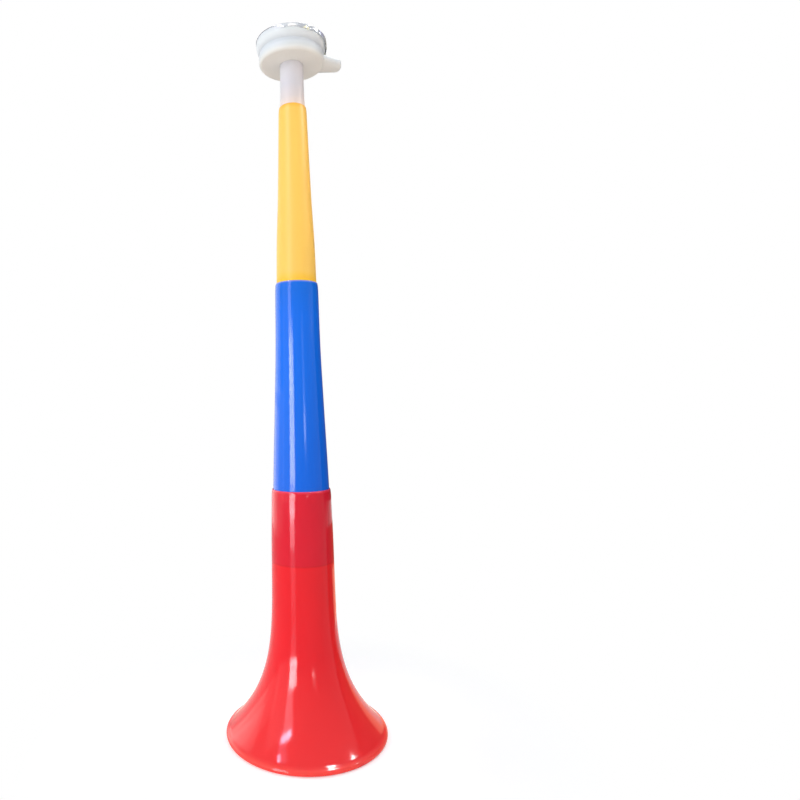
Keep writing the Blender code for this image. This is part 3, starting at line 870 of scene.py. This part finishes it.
YELLOW_COLOURS = [
    # painted shade: deeper orange just above the blue tube's rim, which shades it
    (UPPER_SEAM, (1.0, 0.56, 0.030)),
    (UPPER_SEAM + 0.007, ORANGE),
    (STEM_SEAM - 0.0040, ORANGE),
    # painted shade: deeper orange on the mouth's round
    (STEM_SEAM, (1.0, 0.50, 0.050)),
]
MILKY_COLOURS = [
    # painted reflection: a peach tint near the orange tube, its colour thrown on the stem
    (STEM_SEAM, (0.86, 0.71, 0.64)),
    (STEM_SEAM + 0.006, (0.74, 0.665, 0.665)),
    (STEM_SEAM + 0.016, (0.66, 0.64, 0.69)),
    (DRUM_BASE, (0.66, 0.65, 0.70)),
]
IVORY_COLOURS = [
    # painted light: warm at the base, as lit from the warm floor below, cool above, as lit from
    # above
    (DRUM_BASE, (0.81, 0.80, 0.765)),
    (DRUM_BASE + 0.0040, (0.71, 0.745, 0.765)),
    # painted shade: darker and bluer in the waist, under the ring
    (DRUM_BASE + WAIST_LOW, (0.70, 0.745, 0.785)),
    (DRUM_BASE + WAIST_HIGH, (0.66, 0.70, 0.75)),
    (HORN_TOP, (0.72, 0.75, 0.78)),
]
WHITE_COLOURS = [
    # painted shade: darker and bluer at the lower edge, over the waist
    (DRUM_BASE + RING_BOTTOM, (0.69, 0.73, 0.78)),
    (DRUM_BASE + RING_BOTTOM + RING_LOW_ROUND, RING_WHITE),
    (HORN_TOP - 0.005, RING_WHITE),
    # painted shade: darker towards the top edge, under the film's skirt
    (HORN_TOP, (0.68, 0.72, 0.78)),
]

red = moulded_plastic("red_plastic", RED_COLOURS, 0.065, translucency=0.2)
blue = moulded_plastic("blue_plastic", BLUE_COLOURS, 0.08)
yellow = moulded_plastic("yellow_plastic", YELLOW_COLOURS, 0.36, translucency=0.1, specular=0.15)
milky = moulded_plastic("milky_plastic", MILKY_COLOURS, 0.5, translucency=0.3)
ivory = moulded_plastic("ivory_plastic", IVORY_COLOURS, 0.38, translucency=0.15, specular=0.08)
white = moulded_plastic("white_plastic", WHITE_COLOURS, 0.34, translucency=0.15, specular=0.08)
silvery = film_material("clear_film")

bell = bell_piece()
middle = section("horn_middle", middle_stations, upper_stations)
upper = section("horn_upper", upper_stations, stem_stations)
stem, drum, ring, film = stem_piece(), drum_piece(), ring_piece(), film_piece()
dress(bell, red, "bell", "bell_section")
dress(middle, blue, "middle", "middle_section")
dress(upper, yellow, "upper", "upper_section")
dress(stem, milky, "stem", "stem_tube")
dress(drum, ivory, "head", "drum_body")
dress(ring, white, "head", "retaining_ring")
dress(film, silvery, "head", "membrane_film")


def is_shown_ray(owner):
    """1 for camera, glossy and transmission rays, which see the white background."""
    path = add_node(owner, "LightPath")
    shown = path.outputs["Is Camera Ray"]
    for kind in ("Is Glossy Ray", "Is Transmission Ray"):
        shown = combined(owner, "MAXIMUM", shown, path.outputs[kind])
    return shown


def camera_axes():
    """The photograph's right and forward directions on the ground."""
    right = Vector((math.cos(CAMERA_TURN), -math.sin(CAMERA_TURN), 0.0))
    ahead = Vector((math.sin(CAMERA_TURN), math.cos(CAMERA_TURN), 0.0))
    return right, ahead


def place_round(azimuth, distance):
    """A place on the ground at an azimuth in degrees, and a distance from the horn's axis."""
    right, ahead = camera_axes()
    turn = math.radians(azimuth)
    return (right * math.sin(turn) - ahead * math.cos(turn)) * distance


def floor():
    """Wide pale floor that carries the horn's shadow and throws warm light up."""
    bpy.ops.mesh.primitive_plane_add(size=FLOOR_SIZE, location=(0.0, 0.0, -FLOOR_DROP))
    plane = bpy.context.object
    plane.name = "studio_floor"
    material, shader = new_material("studio_floor")
    links = material.node_tree.links
    shown = is_shown_ray(material)
    mirrored = add_node(material, "LightPath").outputs["Is Glossy Ray"]
    distance = add_node(material, "VectorMath")
    distance.operation = "LENGTH"
    links.new(own_place(material), distance.inputs[0])
    far = mapped(material, distance.outputs["Value"], *FLOOR_FADE, 0.0, 1.0)
    near_colour = blended(material, mirrored, FLOOR_SEEN, FLOOR_MIRRORED)
    shown_colour = blended(material, far, near_colour, (0.0, 0.0, 0.0))
    colour = blended(material, shown, FLOOR_BOUNCE, shown_colour)
    links.new(colour, shader.inputs["Base Color"])
    glow = mapped(material, distance.outputs["Value"], *FLOOR_FADE, FLOOR_GLOW, 1.0)
    strength = combined(material, "MULTIPLY", shown, glow)
    links.new(strength, shader.inputs["Emission Strength"])
    shader.inputs["Emission Color"].default_value = (1.0, 1.0, 1.0, 1.0)
    shader.inputs["Roughness"].default_value = 0.9
    shader.inputs["Specular IOR Level"].default_value = 0.0
    plane.data.materials.append(material)


def flag(name, distance, top, colour):
    """Curved card on the right, only for reflections: it gives that edge of the gloss its tone."""
    mesh = bmesh.new()
    rows = []
    for step in range(FLAG_STEPS + 1):
        place = place_round(FLAG_START + (FLAG_END - FLAG_START) * step / FLAG_STEPS, distance)
        ends = [place + Vector((0.0, 0.0, height)) for height in (FLAG_FOOT, top)]
        rows.append([mesh.verts.new(end) for end in ends])
    for near, after in zip(rows, rows[1:]):
        mesh.faces.new([near[0], after[0], after[1], near[1]])
    card = finish_mesh(name, mesh)
    material, shader = new_material(name)
    shader.inputs["Base Color"].default_value = (0.0, 0.0, 0.0, 1.0)
    shader.inputs["Specular IOR Level"].default_value = 0.0
    shader.inputs["Emission Color"].default_value = (*colour, 1.0)
    shader.inputs["Emission Strength"].default_value = 1.0
    card.data.materials.append(material)
    card.visible_camera = card.visible_diffuse = False
    card.visible_transmission = card.visible_shadow = False


def studio_world():
    """White surround: full white where it is seen, softer as a light."""
    world = bpy.data.worlds.new("studio")
    bpy.context.scene.world = world
    world.use_nodes = True
    links = world.node_tree.links
    background = world.node_tree.nodes["Background"]
    shown = is_shown_ray(world)
    links.new(blended(world, shown, SKY_LIGHT, WHITE), background.inputs["Color"])
    strength = mapped(world, shown, 0.0, 1.0, AMBIENT, 1.0)
    links.new(strength, background.inputs["Strength"])


def soft_light(
    name, azimuth, distance, height, size, radiance, aim_height, colour, use, lean=0, spread=None
):
    """A rectangular lamp that only lights or is only mirrored, from a row of LAMPS."""
    place = place_round(azimuth, distance) + Vector((0.0, 0.0, height))
    lamp = bpy.data.lights.new(name, "AREA")
    lamp.shape = "RECTANGLE"
    lamp.size, lamp.size_y = size
    lamp.energy = radiance * math.pi * size[0] * size[1]
    lamp.color = colour
    if spread is not None:
        lamp.spread = math.radians(spread)
    holder = bpy.data.objects.new(name, lamp)
    holder.location = place
    aim = Vector((0.0, 0.0, aim_height)) - place
    facing = aim.to_track_quat("-Z", "Y") @ Quaternion((0.0, 0.0, 1.0), math.radians(lean))
    holder.rotation_euler = facing.to_euler()
    holder.visible_camera = False
    holder.visible_diffuse = use == SHADING
    holder.visible_glossy = use == MIRRORED
    bpy.context.scene.collection.objects.link(holder)


def camera():
    """The photograph's viewpoint."""
    right, ahead = camera_axes()
    up = Vector((0.0, 0.0, 1.0))
    look = ahead * math.cos(CAMERA_UPWARD) + up * math.sin(CAMERA_UPWARD)
    lens_up = right.cross(look)
    rolled_right = right * math.cos(CAMERA_ROLL) - lens_up * math.sin(CAMERA_ROLL)
    rolled_up = lens_up * math.cos(CAMERA_ROLL) + right * math.sin(CAMERA_ROLL)
    lens = bpy.data.cameras.new("camera")
    lens.sensor_width = SENSOR_WIDTH
    lens.sensor_fit = "HORIZONTAL"
    lens.lens = FOCAL_PIXELS / IMAGE_SIZE * SENSOR_WIDTH
    lens.shift_x = (IMAGE_SIZE / 2 - CENTRE_PIXEL[0]) / IMAGE_SIZE
    lens.shift_y = (CENTRE_PIXEL[1] - IMAGE_SIZE / 2) / IMAGE_SIZE
    lens.clip_start = CLIP_START
    holder = bpy.data.objects.new("camera", lens)
    place = right * CAMERA_SIDE - ahead * CAMERA_DISTANCE + up * CAMERA_HEIGHT
    axes = Matrix((rolled_right, rolled_up, -look)).transposed().to_4x4()
    holder.matrix_world = Matrix.Translation(place) @ axes
    bpy.context.scene.collection.objects.link(holder)
    bpy.context.scene.camera = holder


floor()
studio_world()
for row in LAMPS:
    soft_light(*row)
flag("flag_near", distance=0.24, top=0.085, colour=(0.60, 0.20, 0.11))
flag("flag_far", distance=1.0, top=1.25, colour=(0.12, 0.11, 0.10))
camera()
bpy.context.scene.view_settings.view_transform = "Standard"
